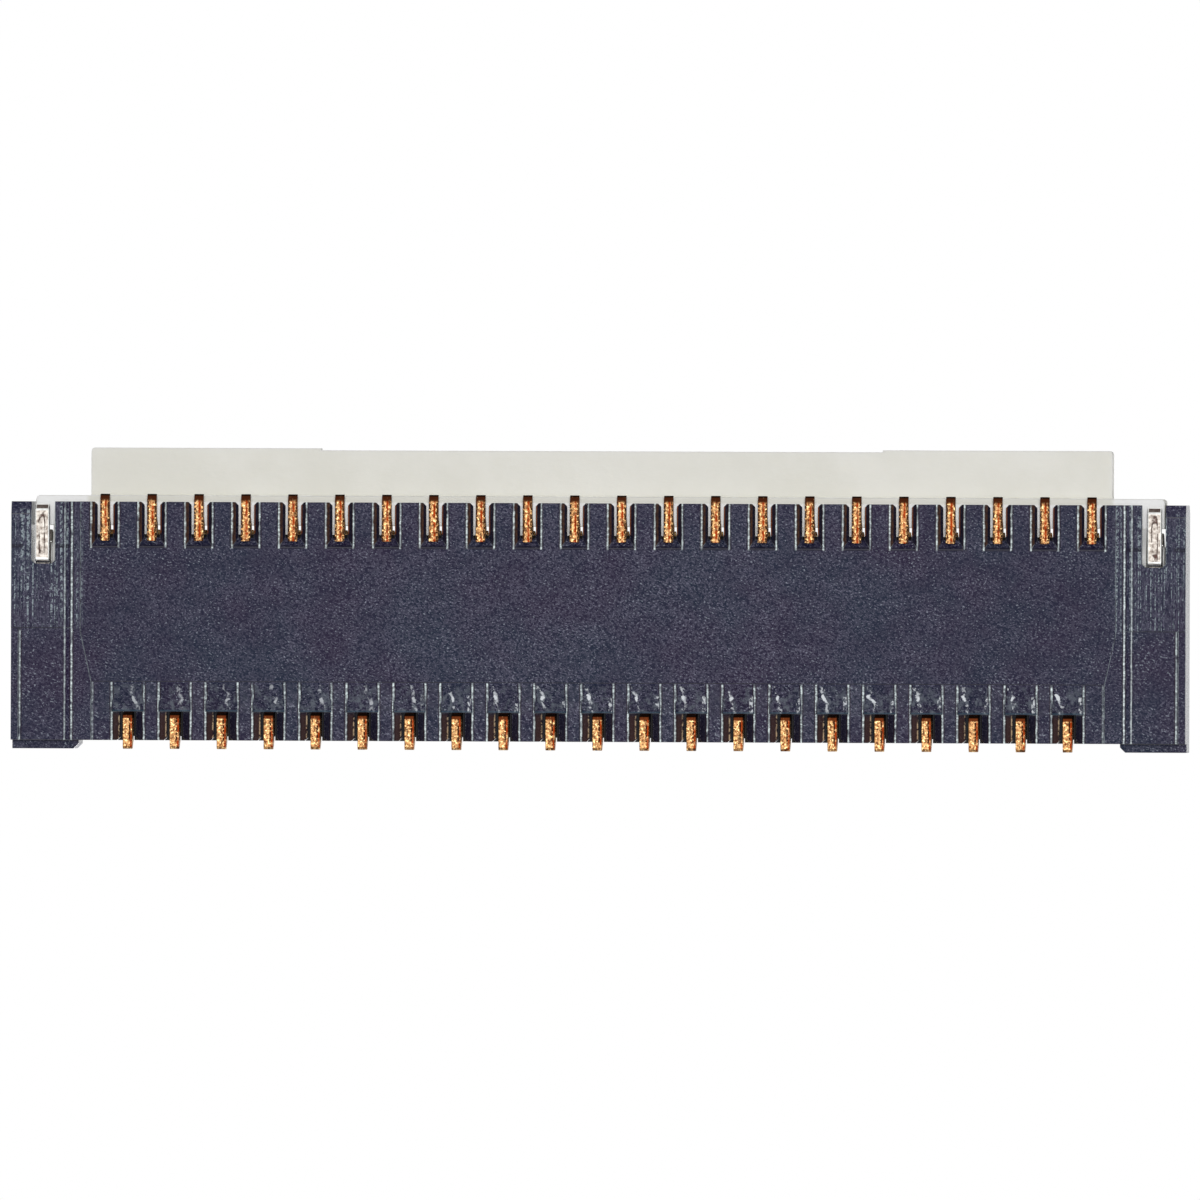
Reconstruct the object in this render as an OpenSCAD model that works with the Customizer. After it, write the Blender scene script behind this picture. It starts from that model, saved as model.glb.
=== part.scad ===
// Low-profile board connector for a flat flexible cable, with a flip lock at the rear.
// X runs along the connector, -Y is the side the cable enters, +Y the side of the lock,
// +Z points away from the board and z = 0 is the board surface.

/* [Overall] */
// Contact positions, rear and front rows together (odd, both ends belong to the rear row)
positions = 43; // [13:2:71]
// Spacing from one contact to the next
pitch = 0.3; // [0.25:0.01:0.6]
// Housing beyond the centre of the last contact, at each end
end_w = 1.2; // [1.15:0.05:1.8]
// Depth of the housing base from front to rear
body_depth = 3.04; // [2.8:0.02:4.5]
// Thickness of the base under the contacts
base_t = 0.14; // [0.13:0.01:0.3]
// Thickness of the roof over the contacts
roof_t = 0.12; // [0.1:0.01:0.3]

/* [Cable slot] */
// Thickness of the flat cable at its stiffened end
cable_t = 0.2; // [0.12:0.01:0.3]
// Room above and below the cable together
cable_gap = 0.08; // [0.04:0.01:0.16]
// Cable edge beyond the centre of the last contact, at each side
cable_edge = 0.3; // [0.25:0.05:0.3]
// Room beside the cable, at each side
cable_side = 0.05; // [0.02:0.01:0.05]
// How far the cable goes in, from the front edge of the base
cable_depth = 1.52; // [1.4:0.01:1.8]
// Setback of the roof's front edge behind the base
roof_setback = 0.05; // [0.02:0.01:0.4]
// Lead-in chamfer at the mouth of the slot
mouth_chamfer = 0.08; // [0.02:0.01:0.1]
// How far the guide cheeks stand out in front of the base
cheek_out = 0.11; // [0.05:0.01:0.2]

/* [Contacts] */
// Thickness of the contact strip
contact_t = 0.12; // [0.1:0.01:0.15]
// Height of the contact beams
beam_h = 0.14; // [0.1:0.01:0.18]
// Height left between the two contact points before a cable goes in
point_gap = 0.12; // [0.06:0.01:0.18]
// Depth of a rear-row contact point behind the front edge of the base
rear_row_point = 0.57; // [0.5:0.01:0.7]
// Depth of a front-row contact point behind the front edge of the base
front_row_point = 0.92; // [0.85:0.01:1.1]
// Depth of the upright that joins the two beams
web_w = 0.2; // [0.12:0.01:0.24]
// How far the front tails reach beyond the base
front_tail_out = 0.11; // [0.02:0.01:0.3]
// How far the rear tails reach beyond the base
rear_tail_out = 0.1; // [0.02:0.01:0.3]
// Length of the soldered sole of a front tail
front_sole = 0.43; // [0.4:0.01:0.45]
// Length of the soldered sole of a rear tail
rear_sole = 0.6; // [0.5:0.01:0.6]
// Height of the tails above the board
tail_h = 0.1; // [0.08:0.01:0.12]

/* [Flip lock] */
// Opening angle of the lock: 0 is closed, 90 is open
open_angle = 0; // [0:1:90]
// Distance of the pivot in front of the rear edge of the base
pivot_in = 0.67; // [0.62:0.01:0.7]
// Long half-axis of the cam between the beams
cam_r = 0.19; // [0.16:0.01:0.24]
// Short half-axis of the cam
cam_r_short = 0.11; // [0.09:0.01:0.14]
// Radius of the rounded ribs between the contacts
rib_r = 0.28; // [0.24:0.01:0.28]
// Lock body beyond the rear edge of the base
lock_out = 0.08; // [0:0.01:0.2]
// Thumb flap beyond the rear edge of the base
flap_out = 0.69; // [0.4:0.01:1]
// Thickness of the thumb flap
flap_t = 0.3; // [0.15:0.01:0.35]
// Thumb flap beyond the centre of the last contact, at each end
flap_edge = 0.226; // [0.1:0.002:0.3]
// Depth of the long shallow relief in the flap's free edge
flap_relief = 0.025; // [0.01:0.005:0.05]
// Radius of the lock's rounded corners
lock_corner = 0.05; // [0.02:0.01:0.07]

/* [Hold-downs] */
// Thickness of the hold-down strip
hold_t = 0.18; // [0.12:0.01:0.2]
// Centre of a hold-down inside the end face of the housing
hold_in = 0.4; // [0.38:0.01:0.42]
// Radius of the lock's round end pins under the hold-downs
pin_r = 0.15; // [0.12:0.01:0.17]
// Thickness of the housing's side walls beside the lock
side_wall = 0.26; // [0.2:0.01:0.27]
// Distance of the hold-down's sole in front of the rear edge of the base
hold_sole_in = 0.1; // [0.05:0.01:0.15]
// Length of the hold-down's soldered sole
hold_sole = 0.67; // [0.5:0.01:0.67]

/* [Clearances] */
// Room between a contact and its channel, at each side
channel_gap = 0.01; // [0.005:0.005:0.02]
// Room between a contact and the deep part of its slot in the base, at each side
slot_gap = 0.04; // [0.02:0.01:0.06]
// Room between a contact and the lock's windows, at each side
window_gap = 0.025; // [0.015:0.005:0.03]
// Room between the cam or the pins and the beams that hold them
cam_gap = 0.01; // [0.005:0.005:0.02]
// Room above the upper beams to flex
flex_gap = 0.05; // [0.03:0.01:0.1]
// Room between the lock and the walls beside, before and below it
lock_gap = 0.03; // [0.02:0.01:0.05]
// Room between the closed lock and the pads that stop it
stop_gap = 0.015; // [0.01:0.005:0.03]

/* [Hidden] */
$fn = 64;
cut = 0.1;                 // how far cutting shapes reach past what they cut
two_digits = 10;           // contacts below this number are padded with a zero

rear_count = (positions + 1) / 2;
front_count = rear_count - 1;
function rear_x(i) = (2 * i - rear_count + 1) * pitch;
function front_x(i) = (2 * i - front_count + 1) * pitch;
function between_x(i) = (i - positions / 2 + 1) * pitch;
function numbered(stem, i) = str(stem, i < two_digits ? "0" : "", i);

// Places along X, as distances from the middle
last_x = (positions - 1) / 2 * pitch;
half_w = last_x + end_w;
slot_half = last_x + cable_edge + cable_side;
hold_x = half_w - hold_in;
lock_half = half_w - side_wall - lock_gap;
flap_half = last_x + flap_edge;

// Places along Y
front_y = -body_depth / 2;
rear_y = body_depth / 2;
stop_y = front_y + cable_depth;
stop_wall = 0.02;                    // between the cable's end and the contacts' uprights
web_y = stop_y + stop_wall;
web_rear = web_y + web_w;
pivot_y = rear_y - pivot_in;

// Heights, from the board up
beam_r = cam_r + cam_gap;
low_beam_z = base_t + channel_gap;
pivot_z = low_beam_z + beam_h + beam_r;
top_beam_z = pivot_z + beam_r;
channel_top = top_beam_z + beam_h + flex_gap;
body_h = channel_top + roof_t;
slot_h = cable_t + cable_gap;
slot_floor = pivot_z - slot_h / 2;
lock_below_roof = 0.04;
lock_over_tails = 0.11;
lock_top = body_h - lock_below_roof;
lock_under = low_beam_z + beam_h + lock_over_tails;
lock_rise = lock_top - pivot_z;      // top of the closed lock above its pivot
roof_rear = pivot_y - lock_rise - lock_gap;

// Lock and what holds it
hook_r = beam_r + beam_h;
hook_end = 20;                       // angle over the pivot at which a hook ends
relief_share = 0.55;                 // share of the flap's width that the relief takes
window_w = contact_t + 2 * window_gap;
window_rear = pivot_y + hook_r + lock_gap;
lock_rear = rear_y + lock_out;
flap_rear = rear_y + flap_out;
pin_seat_r = pin_r + cam_gap;
hold_hook_t = hook_r - pin_seat_r;

// Contacts and hold-downs
tip = 0.03;                          // half the flat on a contact point, and other small bevels
nose = 0.14;                         // half the length of a contact point
beam_dip = 0.03;                     // the upper beam comes down a little towards its point
barb_h = flex_gap - channel_gap;     // barbs on the uprights, a running gap short of the roof
hold_web = 0.3;                      // depth of a hold-down's upright
arm_back = 0.22;                     // end of a hold-down's low arm behind the front of its sole
riser_in = 0.035;                    // a rear tail's riser behind the end of the deep slot
toe_bevel = 0.06;                    // bevel under the tip of a rear tail, and its length
toe_bevel_len = 0.078;
hold_front_y = stop_y - 0.9;         // front end of a hold-down's low arm
sole_h = 0.12;                       // height of a hold-down's foot

// Underside relief of the base
panel_inset = 0.04;                  // shallow middle panel, narrower towards the front comb
panel_taper = 0.14;
panel_half = slot_half - panel_inset;
panel_front_half = panel_half - panel_taper;
panel_d = 0.02;
panel_front_y = front_y + 0.75;
panel_bend_y = panel_front_y + 0.63;
comb_d = 0.01;                       // strip that carries the front comb
rail_x = slot_half + 0.07;           // flat rails that stand on the board
rail_slope = 0.09;
end_relief = 0.03;
end_relief_rear = 0.045;
end_step_y = front_y + 1.43;
edge_strip = 0.115;                  // rebate along the outer edge of an end block
edge_strip_d = 0.03;
edge_strip_slope = 0.02;
leg_bevel = 0.155;                   // bevel under the tip of a rear leg

// Slots in the base
deep_w = contact_t + 2 * slot_gap;
rear_mouth_w = deep_w + 0.15;
front_mouth_w = deep_w + 0.21;
slot_slope_z = 0.11;                 // height at which the sloped sides end
rear_slot_y = rear_y - 0.41;
rear_slot_low_y = rear_y - 0.6;
front_slot_y = front_y + 0.364;
front_ramp_y = front_y + 0.74;
front_ramp_z = 0.1;
tooth_corner = 0.04;
hold_slot_out = half_w - side_wall;
hold_slot_w = 0.3;
hold_slot_y = rear_y - 0.79;

// Housing
channel_nose = 0.25;                 // length of a rear channel in front of its contact point
top_bevel = 0.05;
side_corner = 0.15;
cheek_chamfer = 0.066;
pad_w = 0.3;                         // pads that the lock comes down on
pad_front_y = rear_y - 0.22;
pad_rear_y = rear_y - 0.04;
ridge_z = pivot_z - rib_r - lock_gap;
ridge_rear_y = rear_slot_y - 0.05;

// ---- directions: a profile in Y and Z swept along X, and one in X and Z swept along Y ----

module along_x(x0, x1) {
    translate([x0, 0, 0]) rotate([90, 0, 90]) linear_extrude(x1 - x0) children();
}

module along_y(y0, y1) {
    translate([0, y1, 0]) rotate([90, 0, 0]) linear_extrude(y1 - y0) children();
}

module both_ends() {
    children();
    mirror([1, 0, 0]) children();
}

module block(x0, x1, y0, y1, z0, z1) {
    translate([x0, y0, z0]) cube([x1 - x0, y1 - y0, z1 - z0]);
}

// ---- housing ----

// Side outline of the housing over its whole length
module housing_side() {
    polygon([
        [front_y, 0], [front_y, slot_floor], [front_y - cheek_out, slot_floor],
        [front_y - cheek_out, body_h], [roof_rear, body_h], [roof_rear, base_t],
        [rear_y, base_t], [rear_y, 0]]);
}

// Side outline of the walls beside the lock, with a bevelled rear corner
module side_wall_outline() {
    polygon([
        [roof_rear - cut, 0], [roof_rear - cut, body_h], [rear_y - side_corner, body_h],
        [rear_y, body_h - side_corner], [rear_y, 0]]);
}

// End view of the housing, with its two upper edges bevelled
module housing_end() {
    polygon([
        [-half_w, 0], [half_w, 0], [half_w, body_h - top_bevel], [half_w - top_bevel, body_h],
        [top_bevel - half_w, body_h], [-half_w, body_h - top_bevel]]);
}

// Pads under the lock that it comes down on, and low ridges between the contacts
module lock_floor() {
    pad_x = last_x + pitch;
    ridge_half = (pitch - contact_t) / 2 - channel_gap;
    both_ends() block(pad_x, pad_x + pad_w, pad_front_y, pad_rear_y, 0, lock_under - stop_gap);
    for (i = [0 : positions - 2])
        translate([between_x(i), 0, 0])
            along_x(-ridge_half, ridge_half)
                polygon([
                    [roof_rear - cut, 0], [roof_rear - cut, slot_floor], [roof_rear, slot_floor],
                    [pivot_y - rib_r, ridge_z], [ridge_rear_y, ridge_z], [ridge_rear_y, 0]]);
}

// The cable slot with its lead-in chamfers, and the open front above it
module cable_slot() {
    roof_front = front_y + roof_setback;
    slot_top = slot_floor + slot_h;
    along_x(-slot_half, slot_half)
        polygon([
            [front_y - cheek_out - cut, slot_floor - mouth_chamfer - cheek_out - cut],
            [front_y + mouth_chamfer, slot_floor], [stop_y, slot_floor], [stop_y, slot_top],
            [roof_front + mouth_chamfer, slot_top], [roof_front, slot_top + mouth_chamfer],
            [roof_front, body_h + cut], [front_y - cheek_out - cut, body_h + cut]]);
    // the cheeks widen towards the front
    both_ends() translate([0, 0, slot_floor]) linear_extrude(body_h)
        polygon([
            [slot_half - cut, front_y], [slot_half, front_y - cheek_out + cheek_chamfer],
            [slot_half + cheek_chamfer, front_y - cheek_out],
            [slot_half + cheek_chamfer, front_y - cheek_out - cut],
            [slot_half - cut, front_y - cheek_out - cut]]);
}

// Channels for the contacts: the rear row's stop inside, the front row's run out at the front
module channels() {
    half = contact_t / 2 + channel_gap;
    rear_row_front = front_y + rear_row_point - channel_nose;
    for (i = [0 : rear_count - 1])
        block(rear_x(i) - half, rear_x(i) + half, rear_row_front, roof_rear + cut, base_t, channel_top);
    for (i = [0 : front_count - 1])
        block(front_x(i) - half, front_x(i) + half, front_y - cut, roof_rear + cut, base_t, channel_top);
}

// Cross-section of one slot in the base: sloped sides below, straight above
module slot_section(mouth_w, start_z) {
    polygon([
        [-mouth_w / 2, -cut], [mouth_w / 2, -cut], [mouth_w / 2, start_z],
        [deep_w / 2, slot_slope_z], [deep_w / 2, base_t + cut],
        [-deep_w / 2, base_t + cut], [-deep_w / 2, slot_slope_z], [-mouth_w / 2, start_z]]);
}

// Bevelled corners of the teeth where a slot runs out over an edge
module tooth_corners(edge_y, out) {
    w = deep_w / 2;
    translate([0, 0, -cut]) linear_extrude(base_t + 2 * cut)
        polygon([
            [-w, edge_y - out * tooth_corner], [w, edge_y - out * tooth_corner],
            [w + tooth_corner, edge_y], [w + tooth_corner, edge_y + out * cut],
            [-w - tooth_corner, edge_y + out * cut], [-w - tooth_corner, edge_y]]);
}

// Comb of slots for the rear tails, each with a slanted inner end
module rear_comb() {
    intersection() {
        for (i = [0 : rear_count - 1])
            translate([rear_x(i), 0, 0])
                along_y(rear_slot_low_y - cut, rear_y + cut) slot_section(rear_mouth_w, panel_d);
        along_x(-half_w, half_w)
            polygon([
                [rear_slot_low_y - cut, -cut], [rear_slot_low_y, 0], [rear_slot_y, base_t],
                [rear_slot_y, base_t + cut], [rear_y + cut, base_t + cut], [rear_y + cut, -cut]]);
    }
    for (i = [0 : rear_count - 1])
        translate([rear_x(i), 0, 0]) tooth_corners(rear_y, 1);
}

// Comb of slots for the front tails, each with a wide ramp that runs down into it
module front_comb() {
    for (i = [0 : front_count - 1])
        translate([front_x(i), 0, 0]) {
            along_y(front_y - cut, front_slot_y) slot_section(front_mouth_w, comb_d);
            along_x(-front_mouth_w / 2, front_mouth_w / 2)
                polygon([
                    [front_ramp_y, comb_d], [front_slot_y, front_ramp_z],
                    [front_slot_y, -cut], [front_ramp_y, -cut]]);
            tooth_corners(front_y, -1);
        }
}

// Shallow steps of the underside
module underside_relief() {
    translate([0, 0, -cut]) {
        linear_extrude(cut + panel_d)
            polygon([
                [-panel_half, rear_y + cut], [-panel_half, panel_bend_y],
                [-panel_front_half, panel_front_y], [panel_front_half, panel_front_y],
                [panel_half, panel_bend_y], [panel_half, rear_y + cut]]);
        linear_extrude(cut + comb_d)
            translate([-panel_front_half, front_y - cut])
                square([2 * panel_front_half, panel_front_y - front_y + cut]);
    }
    both_ends() {
        along_y(front_y - cut, end_step_y)
            polygon([
                [rail_x, -cut], [rail_x, 0], [rail_x + rail_slope, end_relief],
                [half_w - edge_strip, end_relief],
                [half_w - edge_strip + edge_strip_slope, end_relief + edge_strip_d],
                [half_w + cut, end_relief + edge_strip_d], [half_w + cut, -cut]]);
        along_y(end_step_y, rear_y + cut)
            polygon([
                [rail_x, -cut], [rail_x, 0], [rail_x + rail_slope, end_relief_rear],
                [half_w + cut, end_relief_rear], [half_w + cut, -cut]]);
        // bevel under the tip of each rear leg
        along_x(hold_slot_out, half_w + cut)
            polygon([
                [rear_y - leg_bevel, end_relief_rear], [rear_y + cut, base_t], [rear_y + cut, -cut],
                [rear_y - leg_bevel, -cut]]);
    }
}

// Slot under each hold-down, with bevelled inner corners, and the cavity that grips its arms
module hold_down_cavities() {
    inner = hold_slot_out - hold_slot_w;
    half = hold_t / 2 + channel_gap;
    both_ends() {
        translate([0, 0, -cut]) linear_extrude(base_t + 2 * cut)
            polygon([
                [inner, rear_y + cut], [inner, hold_slot_y + tooth_corner],
                [inner + tooth_corner, hold_slot_y], [hold_slot_out - tooth_corner, hold_slot_y],
                [hold_slot_out, hold_slot_y + tooth_corner], [hold_slot_out, rear_y + cut]]);
        along_x(hold_x - half, hold_x + half) hold_down_cavity_outline();
    }
}

// Side outline of the cavity in the end block: a low arm to the front, a high one at the rear
module hold_down_cavity_outline() {
    low_top = pivot_z - pin_seat_r + channel_gap;
    room = 0.05;
    polygon([
        [hold_front_y - room, base_t], [hold_front_y - room, low_top],
        [web_y - room, low_top], [web_y - room, channel_top],
        [roof_rear + cut, channel_top], [roof_rear + cut, base_t]]);
}

module housing() {
    color([0.2, 0.2, 0.26]) difference() {
        union() {
            intersection() {
                along_x(-half_w, half_w) housing_side();
                along_y(front_y - cheek_out, rear_y) housing_end();
            }
            intersection() {
                both_ends() along_x(hold_slot_out, half_w) side_wall_outline();
                along_y(roof_rear - cut, rear_y) housing_end();
            }
            lock_floor();
        }
        cable_slot();
        channels();
        rear_comb();
        front_comb();
        underside_relief();
        hold_down_cavities();
    }
}

// ---- contacts ----

// Hook at the rear of an upper beam: a ring segment round the pivot, open to the rear and below
module hook(inner_r, outer_r) {
    intersection() {
        difference() {
            circle(outer_r);
            circle(inner_r);
        }
        polygon([
            [0, 0], [0, 2 * outer_r], [2 * outer_r, 2 * outer_r],
            [2 * outer_r, 2 * outer_r * tan(hook_end)]]);
    }
}

// Front part of both beams with the two contact points that face each other
module contact_points(point_y) {
    low_top = low_beam_z + beam_h;
    low_point = pivot_z - point_gap / 2;
    top_point = pivot_z + point_gap / 2;
    polygon([
        [web_y, low_beam_z], [web_y, low_top], [point_y + nose, low_top - tip],
        [point_y + tip, low_point], [point_y - tip, low_point], [point_y - nose, low_top - tip],
        [point_y - nose - tip, low_beam_z]]);
    polygon([
        [web_y, top_beam_z], [web_y, top_beam_z + beam_h],
        [point_y - nose, top_beam_z + beam_h - 2 * beam_dip], [point_y - nose, top_beam_z],
        [point_y - tip, top_point], [point_y + tip, top_point],
        [point_y + nose, top_beam_z - beam_dip]]);
}

// Two barbs on top of an upright; they point against the way the piece is pushed in:
// 1 for a piece pushed in from the rear, -1 for one pushed in from the front
module barbs(y0, length, out) {
    barb = length / 2;
    top = pivot_z + hook_r;
    for (k = [0, 1])
        translate([y0 + (k + 0.5) * barb, top])
            polygon([[-barb / 2, 0], [barb / 2, 0], [out * barb / 2, barb_h]]);
}

// Upright web with its barbs, and the rear part of the upper beam with its hook
module contact_rear(out) {
    translate([web_y, low_beam_z]) square([web_w, pivot_z + hook_r - low_beam_z]);
    barbs(web_y, web_w, out);
    translate([web_rear, top_beam_z]) square([pivot_y - web_rear, beam_h]);
    translate([pivot_y, pivot_z]) hook(beam_r, hook_r);
}

// Contact of the rear row: its tail leaves under the lock
module rear_contact_outline() {
    tail_end = rear_y + rear_tail_out;
    sole_start = tail_end - rear_sole;
    riser_y = rear_slot_y + riser_in;
    contact_points(front_y + rear_row_point);
    contact_rear(1);
    polygon([
        [web_rear, low_beam_z + beam_h], [web_rear, low_beam_z], [riser_y, low_beam_z],
        [sole_start, 0], [tail_end - toe_bevel_len, 0], [tail_end, toe_bevel], [tail_end, tail_h],
        [riser_y + web_w, tail_h], [riser_y + toe_bevel, low_beam_z + beam_h]]);
}

// Contact of the front row: its tail leaves under the mouth of the slot
module front_contact_outline() {
    tail_end = front_y - front_tail_out;
    sole_start = tail_end + front_sole;
    point_y = front_y + front_row_point;
    beam_end = pivot_y + hook_r / 2;
    tail_start = point_y - nose - tip;      // where the foot of the lower contact point ends
    contact_points(point_y);
    contact_rear(-1);
    polygon([
        [web_rear, low_beam_z], [beam_end, low_beam_z], [beam_end + tip, low_beam_z + tip],
        [beam_end + tip, low_beam_z + beam_h], [web_rear, low_beam_z + beam_h]]);
    polygon([
        [tail_start, low_beam_z], [tail_start + tip, low_beam_z + beam_h - tip],
        [front_y, low_beam_z + beam_h - tip], [tail_end, tail_h], [tail_end, tip],
        [tail_end + tip, 0], [sole_start, 0], [sole_start + tip, tip],
        [sole_start + tip, low_beam_z]]);
}

module rear_contact(i) {
    color([0.78, 0.56, 0.28])
        translate([rear_x(i), 0, 0]) along_x(-contact_t / 2, contact_t / 2) rear_contact_outline();
}

module front_contact(i) {
    color([0.82, 0.6, 0.32])
        translate([front_x(i), 0, 0]) along_x(-contact_t / 2, contact_t / 2) front_contact_outline();
}

// ---- hold-downs ----

module hold_down_outline() {
    sole_end = rear_y - hold_sole_in;
    sole_start = sole_end - hold_sole;
    toe = 0.07;
    arm_end = sole_start + arm_back;
    low_top = pivot_z - pin_seat_r;
    polygon([
        [hold_front_y, low_beam_z], [sole_start, low_beam_z], [sole_start, toe / 2],
        [sole_start + toe / 2, 0], [sole_end, 0], [sole_end + toe, toe], [sole_end + toe, sole_h],
        [arm_end + toe, sole_h], [arm_end, low_top], [hold_front_y, low_top]]);
    translate([web_y, low_beam_z]) square([hold_web, pivot_z + hook_r - low_beam_z]);
    barbs(web_y, hold_web, 1);
    translate([web_y, pivot_z + pin_seat_r]) square([pivot_y - web_y, hold_hook_t]);
    translate([pivot_y, pivot_z]) hook(pin_seat_r, hook_r);
}

module hold_down(side) {
    color([0.8, 0.78, 0.75])
        translate([side * hold_x, 0, 0]) along_x(-hold_t / 2, hold_t / 2) hold_down_outline();
}

// ---- flip lock ----

// Rectangle in plan whose two rear corners are rounded
module rear_rounded(half, y0, y1) {
    translate([-half, y0]) square([2 * half, y1 - lock_corner - y0]);
    translate([lock_corner - half, y0]) square([2 * (half - lock_corner), y1 - y0]);
    for (s = [-1, 1]) translate([s * (half - lock_corner), y1 - lock_corner]) circle(lock_corner);
}

// Side outline of a rib or an end lobe, about the pivot
module lobe_outline() {
    brow = 0.1;
    brow_rise = 0.64;                   // share of the rise at which the brow starts to slope back
    bar = window_rear - pivot_y;
    circle(rib_r);
    polygon([
        [-rib_r, 0], [brow / 2 - rib_r, lock_rise * brow_rise], [-brow, lock_rise],
        [bar + cut, lock_rise], [bar + cut, lock_under - pivot_z], [bar, lock_under - pivot_z],
        [rib_r * cos(45), -rib_r * sin(45)]]);
}

// Oval cam that stands upright between the beams while the lock is closed
module cam_outline() {
    rise = cam_r - cam_r_short;
    for (s = [-1, 1]) translate([0, s * rise]) circle(cam_r_short);
    translate([-cam_r_short, -rise]) square([2 * cam_r_short, 2 * rise]);
}

// The lock about its pivot line, closed
module lock_closed() {
    lobe_in = last_x + window_w / 2;
    lobe_out = hold_x - hold_t / 2 - window_gap;
    rib_w = pitch - window_w;
    relief_half = flap_half * relief_share;
    translate([0, -pivot_y, -pivot_z]) {
        translate([0, 0, lock_under]) linear_extrude(lock_top - lock_under)
            rear_rounded(lock_half, window_rear, lock_rear);
        translate([0, 0, lock_top - flap_t]) linear_extrude(flap_t) difference() {
            rear_rounded(flap_half, window_rear, flap_rear);
            translate([-relief_half, flap_rear - flap_relief]) square([2 * relief_half, cut]);
        }
    }
    for (i = [0 : positions - 2])
        translate([between_x(i), 0, 0]) along_x(-rib_w / 2, rib_w / 2) lobe_outline();
    both_ends() along_x(lobe_in, lobe_out) lobe_outline();
    along_x(-lobe_in - cut, lobe_in + cut) cam_outline();
    both_ends() along_x(lobe_out - cut, lock_half) circle(pin_r);
}

module lock_actuator() {
    color([0.86, 0.85, 0.82])
        translate([0, pivot_y, pivot_z]) rotate([open_angle, 0, 0]) lock_closed();
}

housing();
lock_actuator();
hold_down(-1);  // hold_down_left
hold_down(1);  // hold_down_right
for (i = [1 : rear_count])
    rear_contact(i - 1);
for (i = [1 : front_count])
    front_contact(i - 1);
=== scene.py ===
"""Looks of a flip-lock connector for a flat flexible cable, lying on a board plane at z = 0.

X runs along the connector, -Y is the cable's side, +Y the lock's side. Lengths are in metres;
patterns are written in millimetres, because the whole object is 15 mm long. Colours are linear.
"""

import logging
import math
from abc import ABC, abstractmethod
from collections.abc import Mapping
from dataclasses import dataclass, field
from enum import Enum
from functools import reduce

import bpy
from mathutils import Matrix, Vector


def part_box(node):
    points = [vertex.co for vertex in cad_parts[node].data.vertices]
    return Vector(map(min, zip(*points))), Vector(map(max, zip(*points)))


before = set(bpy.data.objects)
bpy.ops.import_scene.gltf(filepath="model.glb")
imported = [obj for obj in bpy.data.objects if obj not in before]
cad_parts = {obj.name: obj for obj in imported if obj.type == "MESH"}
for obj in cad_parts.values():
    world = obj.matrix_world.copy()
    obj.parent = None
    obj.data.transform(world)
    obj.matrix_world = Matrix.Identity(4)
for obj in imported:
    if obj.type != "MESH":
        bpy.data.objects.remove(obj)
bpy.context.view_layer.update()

LOG = logging.getLogger("connector")
MM = 0.001
PER_MM = 1000.0
QUARTER_TURN = 1.5708
WHITE = (1.0, 1.0, 1.0)
TRANSLUCENT = {"Subsurface_Weight": 0.5, "Subsurface_Scale": 0.2 * MM}
VALUE, VECTOR, COLOUR = "NodeSocketFloat", "NodeSocketVector", "NodeSocketColor"

Colour = tuple[float, float, float]
Socket = bpy.types.NodeSocket


class Row(Enum):
    """The two rows of contacts, by the side on which their tails leave."""

    REAR = "rear_contact_"
    FRONT = "front_contact_"


@dataclass(frozen=True)
class Spot:
    """A place on the object, in millimetres: a vector and its parts."""

    vector: Socket
    x: Socket
    y: Socket
    z: Socket


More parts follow.
